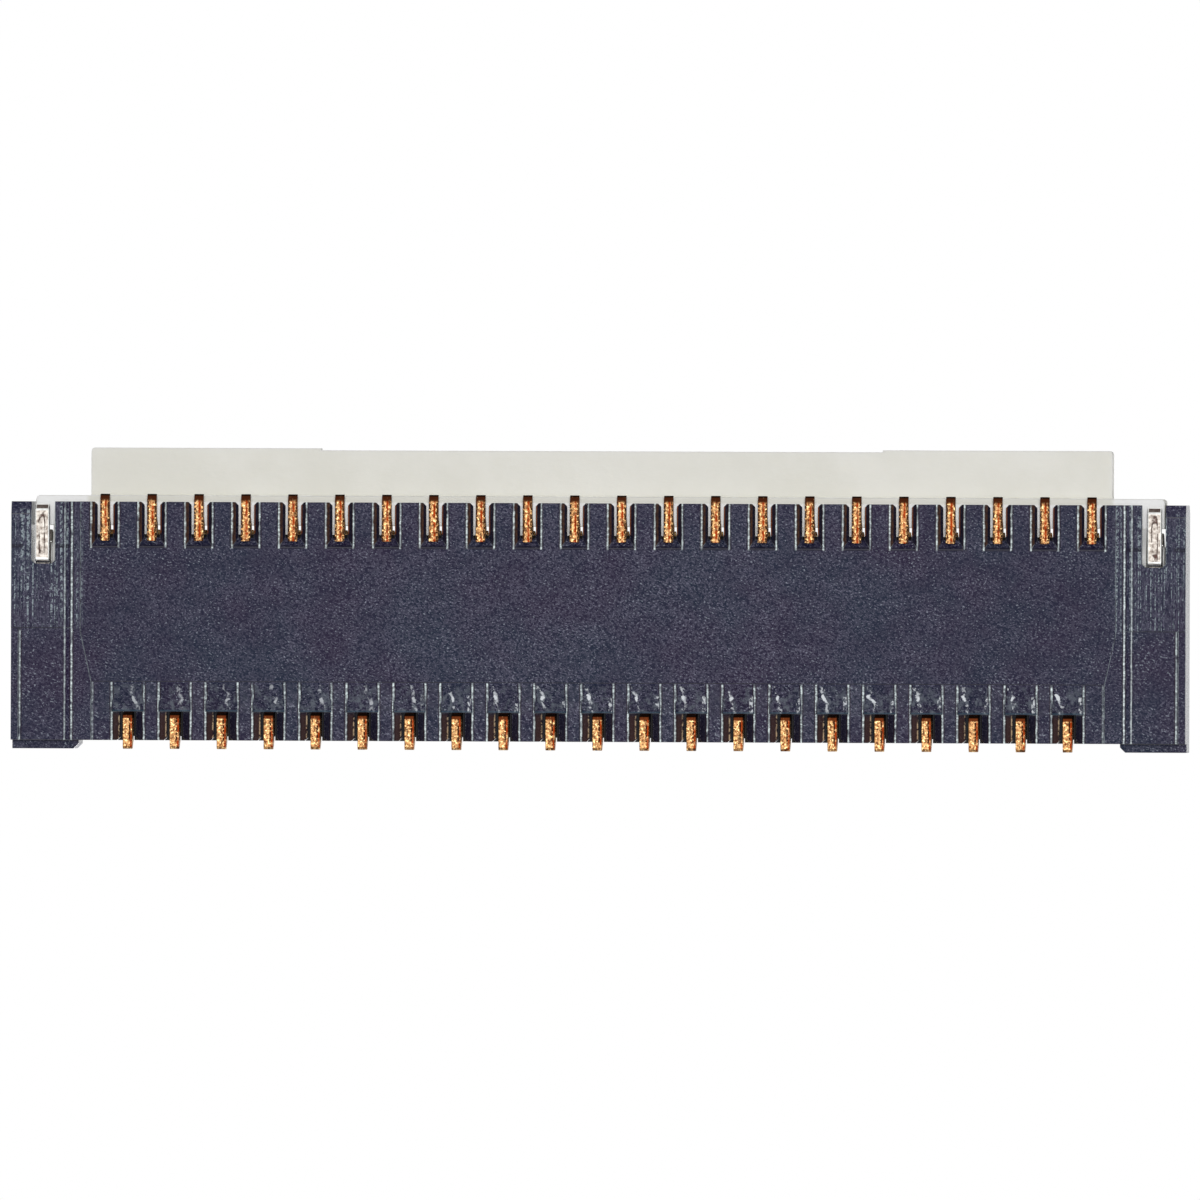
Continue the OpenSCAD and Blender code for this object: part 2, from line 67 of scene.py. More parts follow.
class Sheet:
    """Places, sets and links the nodes of one shader tree."""

    def __init__(self, tree: bpy.types.NodeTree) -> None:
        """Starts on the tree of a material, a world or a node group, and empties it."""
        self.tree = tree
        tree.nodes.clear()

    def node(self, kind: str, **settings: object) -> bpy.types.Node:
        """Adds a node and sets its properties.

        Args:
            kind: the node's type without the leading "ShaderNode".
            settings: properties of the node, by name.

        Returns:
            The new node.
        """
        made = self.tree.nodes.new("ShaderNode" + kind)
        for name, value in settings.items():
            setattr(made, name, value)
        return made

    def feed(self, socket: Socket, value: object) -> None:
        """Links a socket, or sets a plain value, into an input socket.

        Args:
            socket: the input.
            value: an output socket, a number, or a tuple for a colour or a vector.
        """
        if isinstance(value, bpy.types.NodeSocket):
            self.tree.links.new(value, socket)
        elif isinstance(value, tuple) and socket.type == "RGBA" and len(value) == 3:
            socket.default_value = (*value, 1.0)
        else:
            socket.default_value = value

    def fill(self, node: bpy.types.Node, *first: object, **named: object) -> bpy.types.Node:
        """Feeds a node's inputs.

        Args:
            node: the node.
            first: values or sockets for its first inputs, in their order.
            named: values or sockets by the input's name, with spaces written as underscores.

        Returns:
            The same node.
        """
        for socket, value in zip(node.inputs, first):
            self.feed(socket, value)
        for name, value in named.items():
            self.feed(node.inputs[name.replace("_", " ")], value)
        return node

    def math(self, operation: str, a: object, b: object = 0.0, clamp: bool = False) -> Socket:
        """One step of arithmetic on two values, kept between 0 and 1 where clamp is set."""
        made = self.node("Math", operation=operation, use_clamp=clamp)
        return self.fill(made, a, b).outputs[0]

    def plus(self, a: object, b: object) -> Socket:
        """The sum of two values."""
        return self.math("ADD", a, b)

    def less(self, a: object, b: object) -> Socket:
        """The first value less the second."""
        return self.math("SUBTRACT", a, b)

    def times(self, *values: object) -> Socket:
        """The product of two or more values."""
        return reduce(lambda a, b: self.math("MULTIPLY", a, b), values)

    def over(self, a: object, b: object) -> Socket:
        """The first value divided by the second."""
        return self.math("DIVIDE", a, b)

    def power(self, value: object, exponent: float) -> Socket:
        """The value raised to a power."""
        return self.math("POWER", value, exponent)

    def most(self, a: object, b: object) -> Socket:
        """The larger of two values."""
        return self.math("MAXIMUM", a, b)

    def size(self, value: object) -> Socket:
        """The value without its sign."""
        return self.math("ABSOLUTE", value)

    def wrap(self, value: object, half: float) -> Socket:
        """The value brought between -half and half by whole steps of twice the half."""
        return self.fill(self.node("Math", operation="WRAP"), value, half, -half).outputs[0]

    def band(self, value: object, low: object, high: object) -> Socket:
        """A smooth step that is 0 at low and 1 at high, clamped outside."""
        made = self.node("MapRange", interpolation_type="SMOOTHSTEP")
        return self.fill(made, Value=value, From_Min=low, From_Max=high).outputs["Result"]

    def fade(self, value: object, low: object, high: object) -> Socket:
        """The reverse of a band: 1 at low and 0 at high."""
        return self.less(1.0, self.band(value, low, high))

    def near(self, value: Socket, middle: float, core: float, border: float) -> Socket:
        """Mask of a line round the middle: 1 within the core's half width, 0 past the border's."""
        return self.fade(self.size(self.less(value, middle)), core, border)

    def parts(self, vector: Socket) -> tuple[Socket, Socket, Socket]:
        """The X, Y and Z of a vector."""
        return tuple(self.fill(self.node("SeparateXYZ"), vector).outputs)

    def stretch(self, vector: Socket, factors: object) -> Socket:
        """The vector times three factors, a tuple or a socket, one for each of its parts."""
        made = self.node("VectorMath", operation="MULTIPLY")
        return self.fill(made, vector, factors).outputs[0]

    def noise(self, vector: Socket, cells: object, detail: float, rough: float) -> Socket:
        """Fractal noise around 0.5, as a value.

        Args:
            vector: where the noise is read, in millimetres.
            cells: cells per millimetre; a tuple gives them along X, Y and Z.
            detail: how many finer octaves are added.
            rough: how strong each finer octave is.

        Returns:
            The noise value's socket.
        """
        if isinstance(cells, tuple):
            vector, cells = self.stretch(vector, cells), 1.0
        made = self.node("TexNoise")
        self.fill(made, Vector=vector, Scale=cells, Detail=detail, Roughness=rough)
        return made.outputs["Fac"]

    def sway(self, noise: Socket, span: float) -> Socket:
        """Noise around 0.5 as a shift around 0, made span times as large."""
        return self.times(self.less(noise, 0.5), span)

    def blend(self, factor: object, a: object, b: object) -> Socket:
        """The colour a where the factor is 0 and b where it is 1."""
        made = self.node("Mix", data_type="RGBA")
        return self.fill(made, Factor=factor, A=a, B=b).outputs["Result"]

    def mix(self, factor: object, a: object, b: object) -> Socket:
        """The value a where the factor is 0 and b where it is 1."""
        made = self.node("Mix", data_type="FLOAT")
        return self.fill(made, Factor=factor, A=a, B=b).outputs["Result"]

    def spot(self, vector: Socket) -> Spot:
        """The spot at a vector in millimetres."""
        return Spot(vector, *self.parts(vector))

    def millimetres(self) -> Spot:
        """The spot that is being coloured, on the object's own coordinates."""
        return self.spot(self.stretch(self.node("TexCoord").outputs["Object"], (PER_MM,) * 3))

    def facing(self) -> tuple[Socket, Socket, Socket]:
        """The surface's own direction on the object, as X, Y and Z between -1 and 1."""
        return self.parts(self.node("TexCoord").outputs["Normal"])

    def group(self, tree: bpy.types.NodeTree, **values: object) -> Mapping[str, Socket]:
        """Places a node group, feeds its inputs by name and hands back its outputs."""
        return self.fill(self.node("Group", node_tree=tree), **values).outputs

    def relief(self, height: Socket, depth_mm: float, strength: float = 1.0) -> Socket:
        """A normal bent by a height.

        Args:
            height: the height's socket, between 0 and 1.
            depth_mm: what a height of 1 stands for, in millimetres.
            strength: how much of the bending is kept.

        Returns:
            The normal's socket.
        """
        made = self.node("Bump")
        self.fill(made, Height=height, Distance=depth_mm * MM, Strength=strength)
        return made.outputs["Normal"]

    def surface(self, colour: object, rough: object, **more: object) -> None:
        """Ends a material in a Principled shader.

        Args:
            colour: the base colour or its socket.
            rough: the roughness or its socket.
            more: further inputs by name, with spaces written as underscores.
        """
        shader = self.fill(self.node("BsdfPrincipled"), Base_Color=colour, Roughness=rough, **more)
        shader.inputs["Subsurface Radius"].default_value = (1.0, 1.0, 1.0)
        self.end("OutputMaterial", shader)

    def choose(self, factor: Socket, a: bpy.types.Node, b: bpy.types.Node) -> bpy.types.Node:
        """Mixes two shaders: a where the factor is 0 and b where it is 1."""
        return self.fill(self.node("MixShader"), factor, a.outputs[0], b.outputs[0])

    def end(self, kind: str, last: bpy.types.Node) -> None:
        """Leads the last node's first output into a new output node of the given kind."""
        self.fill(self.node(kind), last.outputs[0])


@dataclass(frozen=True)
class Patches:
    """Irregular patches, which lie where fractal noise is high.

    Attributes:
        cells: cells of the noise per millimetre, or three of them along X, Y and Z.
        detail: how many finer octaves the noise has.
        rough: how strong each finer octave is.
        low: noise at a patch's border.
        high: noise from which a patch is full.
    """

    cells: object
    detail: float
    rough: float
    low: float
    high: float

    def mask(self, sheet: Sheet, at: Spot) -> Socket:
        """Mask of the patches: 1 where one is full and 0 between them."""
        noise = sheet.noise(at.vector, self.cells, self.detail, self.rough)
        return sheet.band(noise, self.low, self.high)


@dataclass(frozen=True)
class Comb:
    """Places of the two combs of slots in the housing's underside, in millimetres.

    The front slots are centred on multiples of the pitch within the row, the rear ones half a
    pitch off.

    Attributes:
        row_pitch: distance from slot to slot in one row.
        half: half the length of the rear comb.
        front: the base's front edge.
        rear: the base's rear edge.
        front_mouth: half the width of a front slot's mouth.
        rear_mouth: half the width of a rear slot's mouth.
        front_slot: length of a front slot.
        rear_slot: length of a rear slot.
        end_line: how far inside the rear comb's end the front comb's last line lies.
        rail: where the rails end and a slope leads up to the end blocks.
        rail_foot: width of that slope.
        rebate: where the end blocks' rebates start.
        rear_part: where the end blocks' rear part starts.
    """

    row_pitch: float
    half: float
    front: float
    rear: float
    front_mouth: float = 0.205
    rear_mouth: float = 0.175
    front_slot: float = 0.73
    rear_slot: float = 0.6
    end_line: float = 0.05
    rail: float = 6.72
    rail_foot: float = 0.09
    rebate: float = 7.385
    rear_part: float = -0.1

    @classmethod
    def from_frame(cls) -> "Comb":
        """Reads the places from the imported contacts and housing.

        The combs end a little past the outer contact's middle, the cheeks stand out in front of
        the base, and the rear tails reach out behind it.

        Returns:
            The places.
        """
        end_tooth, cheek, tail_reach = 0.2, 0.11, 0.1
        first, second = (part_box(f"front_contact_{n:02d}") for n in (1, 2))
        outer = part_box("rear_contact_01")
        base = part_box("housing")
        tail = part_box("rear_contact_01")[1][1] * PER_MM
        return cls(
            row_pitch=(second[0][0] - first[0][0]) * PER_MM,
            half=-(outer[0][0] + outer[1][0]) / 2 * PER_MM + end_tooth,
            front=base[0][1] * PER_MM + cheek,
            rear=tail - tail_reach,
        )

    def off_middle(self, sheet: Sheet, x: Socket, row: Row) -> Socket:
        """How far x lies off the middle of the row's nearest slot."""
        half = self.row_pitch / 2
        return sheet.wrap(sheet.plus(x, half if row is Row.REAR else 0.0), half)


class Effects:
    """Shader node groups that several finishes share, each built once."""

    def __init__(self, comb: Comb) -> None:
        """Builds every group.

        Args:
            comb: places of the combs, which the painted highlights follow.
        """
        self.fibres = self._fibres()
        self.window = self._window()
        self.mottle = self._mottle()
        self.comb_lines = self._comb_lines(comb)

    def strip(self, sheet: Sheet, value: object, low: float, high: float, soft: float) -> Socket:
        """Mask of a strip from low to high, with borders as wide as soft outside it."""
        return sheet.group(self.window, Value=value, From=low, To=high, Soft=soft)["Mask"]

    def tone(self, sheet: Sheet, at: Spot, cells: float, dark: Colour, light: Colour) -> Socket:
        """Colour in clouds between two tones, with so many cells per millimetre."""
        made = sheet.group(self.mottle, Place=at.vector, Clouds=cells, Dark=dark, Light=light)
        return made["Colour"]

    @staticmethod
    def _start(
        name: str, inputs: dict[str, str], outputs: dict[str, str]
    ) -> tuple[Sheet, Mapping[str, Socket], Mapping[str, Socket]]:
        """Starts a new group with the named sockets.

        Args:
            name: the group's name.
            inputs: socket name to socket type.
            outputs: the same for the outputs.

        Returns:
            The sheet, the sockets that bring the inputs and those that take the outputs.
        """
        tree = bpy.data.node_groups.new(name, "ShaderNodeTree")
        for side, sockets in (("INPUT", inputs), ("OUTPUT", outputs)):
            for label, kind in sockets.items():
                tree.interface.new_socket(label, in_out=side, socket_type=kind)
        sheet = Sheet(tree)
        entry = tree.nodes.new("NodeGroupInput")
        leave = tree.nodes.new("NodeGroupOutput")
        return sheet, entry.outputs, leave.inputs

    def _fibres(self) -> bpy.types.NodeTree:
        """Fibre-filled moulded surface.

        Short arcs lie along a direction turned by the angle, where the noise crosses its middle,
        and a few of them get painted glints as specks.

        Returns:
            The group.
        """
        sheet, entry, leave = self._start(
            "moulded_fibres",
            {"Place": VECTOR, "Angle": VALUE, "Along": VALUE, "Across": VALUE},
            {"Height": VALUE, "Fibres": VALUE, "Specks": VALUE},
        )
        turned = sheet.node("VectorRotate", rotation_type="Z_AXIS")
        sheet.fill(turned, Vector=entry["Place"], Angle=entry["Angle"])
        factors = sheet.node("CombineXYZ")
        sheet.fill(factors, entry["Along"], entry["Across"], entry["Across"])
        cells = sheet.stretch(turned.outputs[0], factors.outputs[0])
        fine = sheet.noise(cells, 1.0, 3.0, 0.7)
        other = sheet.noise(cells, 1.37, 1.0, 0.5)
        arcs = sheet.times(sheet.near(fine, 0.52, 0.0, 0.045), sheet.band(other, 0.42, 0.6))
        base = sheet.times(sheet.band(fine, 0.38, 0.64), 0.19)
        cloud = sheet.noise(entry["Place"], 1.7, 2.0, 0.6)
        level = sheet.less(0.655, sheet.sway(cloud, 0.16))
        sheet.feed(leave["Height"], fine)
        sheet.feed(leave["Fibres"], sheet.math("ADD", base, sheet.times(arcs, 0.8), clamp=True))
        sheet.feed(leave["Specks"], sheet.band(other, level, sheet.plus(level, 0.08)))
        return sheet.tree

    def _window(self) -> bpy.types.NodeTree:
        """Mask of a strip: 1 where the value lies between two limits, with soft borders.

        Returns:
            The group.
        """
        sheet, entry, leave = self._start(
            "strip_mask", dict.fromkeys(("Value", "From", "To", "Soft"), VALUE), {"Mask": VALUE}
        )
        value, low, high, soft = (entry[name] for name in ("Value", "From", "To", "Soft"))
        rise = sheet.band(value, sheet.less(low, soft), low)
        fall = sheet.band(value, high, sheet.plus(high, soft))
        sheet.feed(leave["Mask"], sheet.math("SUBTRACT", rise, fall, clamp=True))
        return sheet.tree

    def _mottle(self) -> bpy.types.NodeTree:
        """Colour that wanders between two tones in broad clouds with finer ones inside.

        Returns:
            The group.
        """
        sheet, entry, leave = self._start(
            "mottled_colour",
            {"Place": VECTOR, "Clouds": VALUE, "Dark": COLOUR, "Light": COLOUR},
            {"Colour": COLOUR},
        )
        clouds = sheet.band(sheet.noise(entry["Place"], entry["Clouds"], 5.0, 0.62), 0.32, 0.68)
        sheet.feed(leave["Colour"], sheet.blend(clouds, entry["Dark"], entry["Light"]))
        return sheet.tree

    def _comb_lines(self, comb: Comb) -> bpy.types.NodeTree:
        """Painted highlights along Y on the housing's underside, with painted shade beside them.

        They follow the mouths of both combs' slots, the rails and the rebates of the end blocks.
        The mask is 1 on a highlight and the shade is 1 just beside it.

        Args:
            comb: places of the combs.

        Returns:
            The group.
        """
        sheet, entry, leave = self._start(
            "painted_highlight_lines", {"Place": VECTOR}, {"Mask": VALUE, "Shade": VALUE}
        )
        soft, core, border, aside = 0.02, 0.0065, 0.0155, 0.021
        at = sheet.spot(entry["Place"])
        across = sheet.size(at.x)
        front_ends = comb.half - 0.2
        front_stop = comb.front + comb.front_slot
        rear_stop = comb.rear - comb.rear_slot
        inside = sheet.fade(across, comb.half, comb.half + soft)
        within = sheet.fade(across, front_ends, front_ends + soft)
        front = sheet.fade(at.y, front_stop, front_stop + soft)
        rear = sheet.band(at.y, rear_stop, rear_stop + soft)
        forward = sheet.fade(at.y, comb.rear_part, comb.rear_part + soft)
        front_off = sheet.size(comb.off_middle(sheet, at.x, Row.FRONT))
        rear_off = sheet.size(comb.off_middle(sheet, at.x, Row.REAR))
        wander = sheet.sway(sheet.noise(at.vector, (3.0, 7.0, 3.0), 2.0, 0.6), 0.016)
        mask, shade = 0.0, 0.0
        for value, line_at, where, strength in (
            (front_off, comb.front_mouth, front, within),
            (rear_off, comb.rear_mouth, rear, inside),
            (across, comb.rail, 1.0, 1.0),
            (across, comb.rail + comb.rail_foot, 0.45, 1.0),
            (across, comb.rebate, forward, 0.9),
            (across, comb.half - comb.end_line, front, 0.4),
        ):
            off = sheet.size(sheet.less(sheet.less(value, line_at), wander))
            here = sheet.times(where, strength)
            line = sheet.fade(off, core, border)
            beside = sheet.near(off, aside, 0.003, 0.011)
            mask = sheet.most(mask, sheet.times(line, here))
            shade = sheet.most(shade, sheet.times(beside, here))
        low = sheet.fade(at.z, 0.055, 0.07)
        dashes = Patches((7.0, 6.0, 5.0), 2.0, 0.7, 0.30, 0.52).mask(sheet, at)
        dots = Patches((14.0, 27.0, 9.0), 3.0, 0.75, 0.42, 0.60).mask(sheet, at)
        sheet.feed(leave["Mask"], sheet.times(mask, dashes, sheet.most(dots, 0.3), low))
        sheet.feed(leave["Shade"], sheet.times(shade, low))
        return sheet.tree


class Finish(ABC):
    """A finish: it draws the tree of a material."""

    def build(self, name: str) -> bpy.types.Material:
        """Makes a material with this finish.

        Args:
            name: the material's name.

        Returns:
            The material.
        """
        material = bpy.data.materials.new(name)
        material.use_nodes = True
        self.draw(Sheet(material.node_tree))
        return material

    @abstractmethod
    def draw(self, sheet: Sheet) -> None:
        """Draws the finish on the empty sheet of its material."""


@dataclass(frozen=True)
class MouldedBlack(Finish):
    """Blue-black fibre-filled polymer of the housing.

    Its places are in millimetres: where mould lines cross the end blocks, half the length over
    the ramps and over the contacts, the ramps' limits behind the base's front edge and above the
    board, the glints' offset from their ramp's middle and from the front edge, and where along X
    they change sides.
    """

    effects: Effects
    comb: Comb
    purple: Colour = (0.008, 0.002, 0.024)
    teal: Colour = (0.002, 0.008, 0.028)
    fibre: Colour = (0.235, 0.226, 0.318)
    glint_speck: Colour = (0.33, 0.37, 0.43)
    line: Colour = (0.42, 0.50, 0.54)
    # Painted highlights on the edge lines, and painted shade beside them.
    line_highlight: Colour = (0.88, 1.0, 1.0)
    shade: Colour = (0.010, 0.001, 0.003)
    ramp_sheen: Colour = (0.120, 0.135, 0.165)
    glint: Colour = (0.80, 0.84, 0.88)
    gold_reflection: Colour = (0.120, 0.058, 0.034)
    orange_edge: Colour = (0.380, 0.110, 0.030)
    cream: Colour = (0.600, 0.460, 0.300)
    slot_shade: Colour = (0.007, 0.006, 0.018)
    lip: Colour = (0.050, 0.095, 0.135)
    pit_shade: Colour = (0.002, 0.001, 0.001)
    clouds: Patches = Patches((2.2, 3.4, 3.0), 3.0, 0.65, 0.3, 0.7)
    drawn: Patches = Patches((30.0, 0.3, 0.0), 2.0, 0.7, 0.52, 0.58)
    broken: Patches = Patches((24.0, 24.0, 9.0), 3.0, 0.7, 0.46, 0.58)
    gleam: Patches = Patches((13.0, 10.0, 10.0), 4.0, 0.68, 0.46, 0.66)
    rough: float = 0.55
    lines_from: float = 6.62
    lines_to: float = 7.45
    ramps_half: float = 6.25
    ramps_y: tuple[float, float] = (0.365, 0.7)
    ramps_z: tuple[float, float] = (0.013, 0.105)
    contacts_half: float = 6.4
    contacts_z: tuple[float, float] = (0.115, 0.9)
    glint_x: float = 0.09
    glint_y: float = 0.565
    swap_x: float = 1.5

    def draw(self, sheet: Sheet) -> None:
        """Draws fibres, mould lines, ramps with painted sheen and glints, slot sides with painted
        shade and reflection, and painted highlight lines.

        Args:
            sheet: the material's tree.
        """
        at = sheet.millimetres()
        rear_ends = self._rear_ends(sheet, at)
        lines = sheet.times(self.drawn.mask(sheet, at), self.broken.mask(sheet, at), rear_ends)
        ramp = self._ramps(sheet, at)
        colour, height = self._grain(sheet, at, rear_ends)
        colour = sheet.blend(sheet.times(lines, 0.75), colour, self.line)
        # Painted sheen on the ramps.
        colour = sheet.blend(sheet.times(ramp, self._gleam(sheet, at)), colour, self.ramp_sheen)
        # Painted glints on the ramps.
        colour = sheet.blend(sheet.times(self._glints(sheet, at), ramp), colour, self.glint)
        breakup = sheet.noise(at.vector, (20.0, 20.0, 20.0), 3.0, 0.7)
        colour = self._slot_sides(sheet, at, breakup, colour)
        colour = self._slot_ends(sheet, at, breakup, colour)
        # Painted shade deep between the contacts.
        colour = sheet.blend(self._deep_shade(sheet, at), colour, self.pit_shade)
        highlight_lines = sheet.group(self.effects.comb_lines, Place=at.vector)
        # Painted shade beside the housing's edge lines, then painted highlights on them.
        colour = sheet.blend(sheet.times(highlight_lines["Shade"], 0.6), colour, self.shade)
        colour = sheet.blend(highlight_lines["Mask"], colour, self.line_highlight)
        calm = sheet.less(1.0, sheet.times(ramp, 0.8))
        height = sheet.plus(sheet.times(height, calm), sheet.times(lines, 0.5))
        outer = sheet.band(sheet.size(sheet.facing()[0]), 0.9, 0.97)
        rough = sheet.less(self.rough, sheet.times(ramp, 0.3))
        rough = sheet.less(rough, sheet.times(outer, 0.42))
        normal = sheet.relief(height, 0.005)
        sheet.surface(colour, rough, Normal=normal, Specular_IOR_Level=0.15)

    def _grain(self, sheet: Sheet, at: Spot, rear_ends: Socket) -> tuple[Socket, Socket]:
        """Fibres that lie mostly along X and a little aslant, and along Y at the rear ends.

        Args:
            sheet: the material's tree.
            at: the place.
            rear_ends: mask of the end blocks' rear part.

        Returns:
            The colour, and the height of the grain.
        """
        fibres = self.effects.fibres
        grain = sheet.group(fibres, Place=at.vector, Angle=-0.3, Along=26.0, Across=36.0)
        drawn = sheet.group(fibres, Place=at.vector, Angle=QUARTER_TURN, Along=8.0, Across=40.0)
        mixed = sheet.mix(sheet.times(rear_ends, 0.7), grain["Fibres"], drawn["Fibres"])
        # Painted shade: fewer light fibres towards both ends, so the ends look darker.
        faded = sheet.mix(sheet.band(sheet.size(at.x), 1.5, 5.5), 0.82, 0.64)
        faded = sheet.times(faded, sheet.mix(self.clouds.mask(sheet, at), 0.68, 1.32))
        tone = self.effects.tone(sheet, at, 0.7, self.purple, self.teal)
        lean = sheet.times(mixed, sheet.mix(rear_ends, faded, 0.85))
        colour = sheet.blend(lean, tone, self.fibre)
        # Painted glints on a few fibres.
        colour = sheet.blend(sheet.times(grain["Specks"], 0.7), colour, self.glint_speck)
        return colour, grain["Height"]

    def _rear_ends(self, sheet: Sheet, at: Spot) -> Socket:
        """Mask of the underside of the end blocks' rear part.

        Args:
            sheet: the material's tree.
            at: the place.

        Returns:
            The mask's socket.
        """
        across = sheet.size(at.x)
        strip = self.effects.strip(sheet, across, self.lines_from, self.lines_to, 0.06)
        rear = sheet.band(at.y, self.comb.rear_part - 0.02, self.comb.rear_part + 0.04)
        return sheet.times(strip, rear, sheet.fade(at.z, 0.055, 0.075))

    def _ramps(self, sheet: Sheet, at: Spot) -> Socket:
        """Mask of the front comb's ramps.

        Args:
            sheet: the material's tree.
            at: the place.

        Returns:
            The mask's socket.
        """
        low, high = self.ramps_y
        along = self.effects.strip(sheet, at.y, self.comb.front + low, self.comb.front + high, 0.03)
        deep = self.effects.strip(sheet, at.z, *self.ramps_z, 0.004)
        half = self.ramps_half
        return sheet.times(along, deep, sheet.fade(sheet.size(at.x), half, half + 0.05))

    def _gleam(self, sheet: Sheet, at: Spot) -> Socket:
        """Mask of a patchy painted sheen, stronger near the ramps' lips."""
        lower = sheet.fade(at.y, self.comb.front + 0.5, self.comb.front + 0.66)
        return sheet.times(self.gleam.mask(sheet, at), sheet.mix(lower, 0.55, 1.0))

    def _glints(self, sheet: Sheet, at: Spot) -> Socket:
        """Mask of the ramps' painted glints.

        Each is a jagged spot with a thin streak along Y, slanted and bent by noise. It lies on its
        ramp's +X side up to the swap, with a row of bead-like glints on the other side, and fainter
        and alone on the -X side past it.

        Args:
            sheet: the material's tree.
            at: the place.

        Returns:
            The mask's socket.
        """
        start, swap = self.comb.front, self.swap_x
        local = self.comb.off_middle(sheet, at.x, Row.FRONT)
        past = sheet.band(at.x, swap, swap + 1.3)
        bend = sheet.noise(at.vector, (3.0, 9.0, 4.0), 2.0, 0.6)
        spots = sheet.noise(at.vector, (21.0, 15.0, 13.0), 3.0, 0.65)
        side = sheet.times(sheet.band(at.x, swap, swap + 1.1), 2 * self.glint_x)
        slant = sheet.times(sheet.plus(at.y, -start - 0.5), 0.22)
        off = sheet.less(sheet.less(local, sheet.less(self.glint_x, side)), slant)
        off = sheet.plus(off, sheet.sway(bend, 0.16))
        high = sheet.less(sheet.times(past, 0.06), start + self.glint_y)
        high = sheet.over(sheet.plus(at.y, high), 0.056)
        high = sheet.plus(high, sheet.sway(bend, 2.5))
        wide = sheet.power(sheet.over(off, 0.030), 2.0)
        ring = sheet.math("SQRT", sheet.plus(wide, sheet.power(high, 2.0)))
        spot = sheet.fade(sheet.plus(ring, sheet.sway(spots, 2.2)), 0.55, 0.85)
        streak = sheet.times(sheet.near(off, 0.0, 0.010, 0.032), sheet.band(spots, 0.5, 0.6), 0.7)
        glint = sheet.times(sheet.most(spot, streak), sheet.mix(past, 1.0, 0.6))
        bead_glints = self.effects.strip(sheet, local, -0.175, -0.145, 0.015)
        low = self.effects.strip(sheet, at.y, start + 0.39, start + 0.57, 0.03)
        bead_glints = sheet.times(bead_glints, low, sheet.band(spots, 0.49, 0.6), sheet.mix(past, 0.9, 0.0))
        return sheet.most(glint, bead_glints)

    def _deep_shade(self, sheet: Sheet, at: Spot) -> Socket:
        """Mask of painted shade deep between the contacts, on faces that look sideways or down.

        Args:
            sheet: the material's tree.
            at: the place.

        Returns:
            The mask's socket.
        """
        normal_x, _, normal_z = sheet.facing()
        looks = sheet.band(sheet.most(sheet.size(normal_x), sheet.times(normal_z, -1.0)), 0.4, 0.6)
        deep = self.effects.strip(sheet, at.z, *self.contacts_z, 0.02)
        half = self.contacts_half
        return sheet.times(deep, sheet.fade(sheet.size(at.x), half, half + 0.05), looks)

    def _slot_sides(self, sheet: Sheet, at: Spot, breakup: Socket, colour: Socket) -> Socket:
        """Tones of the slots' sloped sides by height on the slope, with painted shade and
        reflection.

        Both sides get painted shade low down. Those that look towards -X also get a painted brown
        reflection of the gold tails low down; the front ones have a broken pale line at the top.
        The rear sides that look towards +X end in an orange edge.

        Args:
            sheet: the material's tree.
            at: the place.
            breakup: noise that breaks up the tones.
            colour: the colour so far.

        Returns:
            The new colour.
        """
        comb = self.comb
        normal_x = sheet.facing()[0]
        inside = sheet.fade(sheet.size(at.x), comb.half, comb.half + 0.1)
        minus = sheet.times(sheet.fade(normal_x, -0.5, -0.25), inside)
        plus = sheet.times(sheet.band(normal_x, 0.25, 0.5), inside)
        front = sheet.fade(at.y, comb.front + 0.3, comb.front + 0.38)
        rear = sheet.band(at.y, comb.rear - comb.rear_slot, comb.rear - comb.rear_slot + 0.03)
        outward = sheet.band(at.y, comb.rear - 0.42, comb.rear - 0.38)
        uneven = sheet.mix(sheet.band(breakup, 0.35, 0.62), 0.35, 1.0)
        patchy = sheet.band(breakup, 0.42, 0.56)
        # Painted shade on both sides and a painted reflection of the gold tails on the -X ones.
        for side, where, low, high, soft, weight, tone in (
            (plus, 1.0, 0.02, 0.09, 0.01, 0.8, self.slot_shade),
            (minus, 1.0, 0.02, 0.115, 0.01, 0.8, self.slot_shade),
            (minus, rear, 0.016, 0.066, 0.01, uneven, self.gold_reflection),
            (minus, front, 0.03, 0.085, 0.02, 0.35, self.gold_reflection),
            (minus, front, 0.09, 0.10, 0.006, patchy, self.cream),
            (plus, outward, 0.095, 0.115, 0.008, 0.85, self.orange_edge),
        ):
            strip = self.effects.strip(sheet, at.z, low, high, soft)
            colour = sheet.blend(sheet.times(side, strip, where, weight), colour, tone)
        return colour

    def _slot_ends(self, sheet: Sheet, at: Spot, breakup: Socket, colour: Socket) -> Socket:
        """Painted shade in a band at each rear slot's inner end, and a bluish lip at each front
        ramp.

        Args:
            sheet: the material's tree.
            at: the place.
            breakup: noise that breaks up the tones.
            colour: the colour so far.

        Returns:
            The new colour.
        """
        comb = self.comb
        mouth = comb.rear_mouth
        inside = sheet.fade(sheet.size(at.x), comb.half, comb.half + 0.1)
        off = sheet.size(comb.off_middle(sheet, at.x, Row.REAR))
        between = sheet.fade(off, mouth - 0.03, mouth - 0.015)
        patchy = sheet.mix(sheet.band(breakup, 0.42, 0.56), 0.95, 0.6)
        lip = sheet.times(sheet.band(at.z, 0.03, 0.05), 0.6)
        low = sheet.fade(at.z, 0.10, 0.11)
        # Painted shade at the rear slots' inner ends, then the front ramps' lips.
        for start, end, where, weight, tone in (
            (comb.rear - 0.59, comb.rear - 0.548, between, patchy, self.slot_shade),
            (comb.front + 0.372, comb.front + 0.384, inside, lip, self.lip),
        ):
            strip = self.effects.strip(sheet, at.y, start, end, 0.008)
            colour = sheet.blend(sheet.times(strip, where, low, weight), colour, tone)
        return colour


